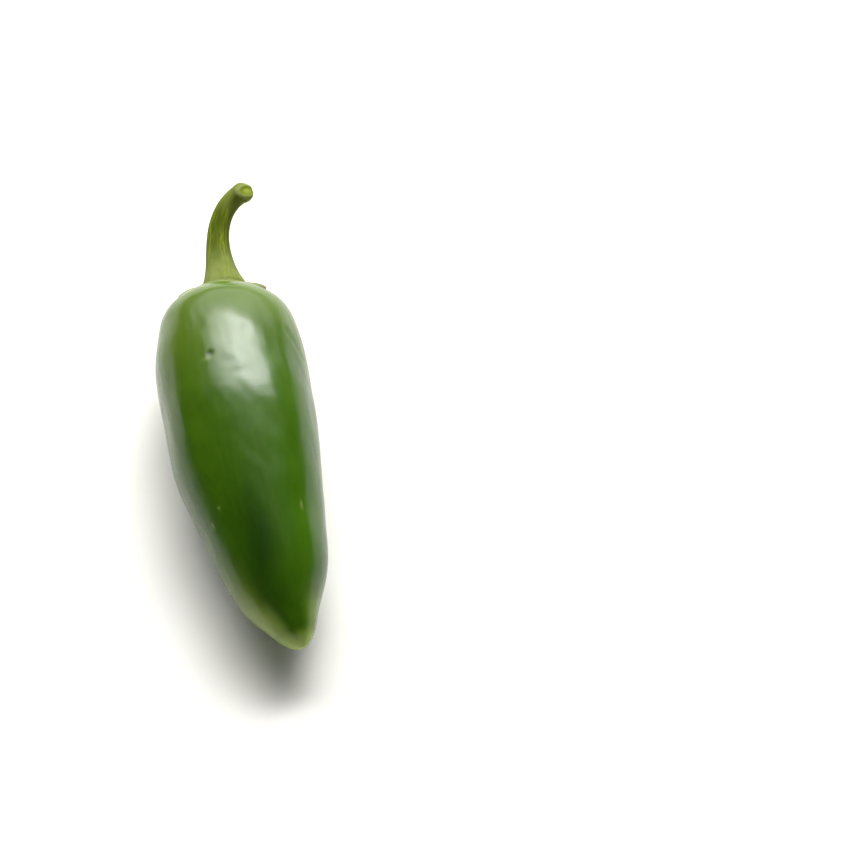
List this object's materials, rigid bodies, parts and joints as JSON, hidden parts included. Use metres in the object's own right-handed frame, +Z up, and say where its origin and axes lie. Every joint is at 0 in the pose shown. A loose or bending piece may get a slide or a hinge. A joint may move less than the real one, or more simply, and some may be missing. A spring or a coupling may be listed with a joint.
{
  "type": "chilli pepper",
  "caption": "Whole green chilli pepper of the jalapeno kind lying on its side: a blunt, tapering, slightly bent pod with a toothed calyx and a curled, cut stem.",
  "frame": {"origin": "centre of the small flat spot on the pod's belly that it rests on, under the pepper's weight", "axes": "+Z up from the surface; +Y along the pepper from its tip toward its stem; +X toward the side that the stem curls to"},
  "size_m": [0.0323, 0.1063, 0.0325],
  "materials": {
    "pod_skin": "satin",
    "calyx_green": "matte",
    "stem_green": "satin"
  },
  "bodies": {
    "root": {"pod": "pod_skin", "calyx": "calyx_green", "stem": "stem_green"}
  },
  "joints": []
}
